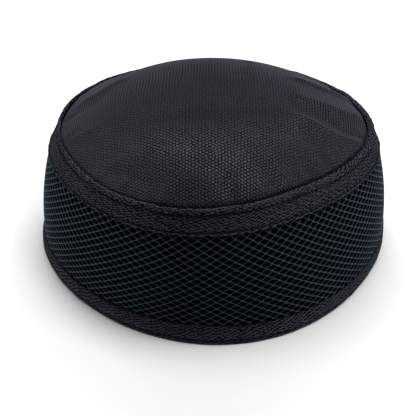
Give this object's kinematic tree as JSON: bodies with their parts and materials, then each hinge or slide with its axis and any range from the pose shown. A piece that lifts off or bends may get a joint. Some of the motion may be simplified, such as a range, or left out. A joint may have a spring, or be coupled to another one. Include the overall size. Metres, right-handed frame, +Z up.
{
  "type": "kufi cap",
  "caption": "Round brimless kufi with a soft domed crown, a stitched band, a wall of air mesh and a folded hem that it stands on.",
  "frame": {"origin": "on the floor, under the middle of the cap's width and depth", "axes": "+Z up through the crown, -Y towards the side that the picture shows in front, +X to its right"},
  "size_m": [0.1902, 0.191, 0.0867],
  "materials": {
    "crown_cloth": "black pique cloth with a slight sheen",
    "band_cloth": "matt black textured cloth",
    "air_mesh": "blue-black net of diamonds over a black backing",
    "hem_cloth": "matt black textured cloth"
  },
  "bodies": {
    "root": {"crown": "crown_cloth", "crown_band": "band_cloth", "side_panel": "air_mesh", "hem_binding": "hem_cloth"}
  },
  "joints": []
}
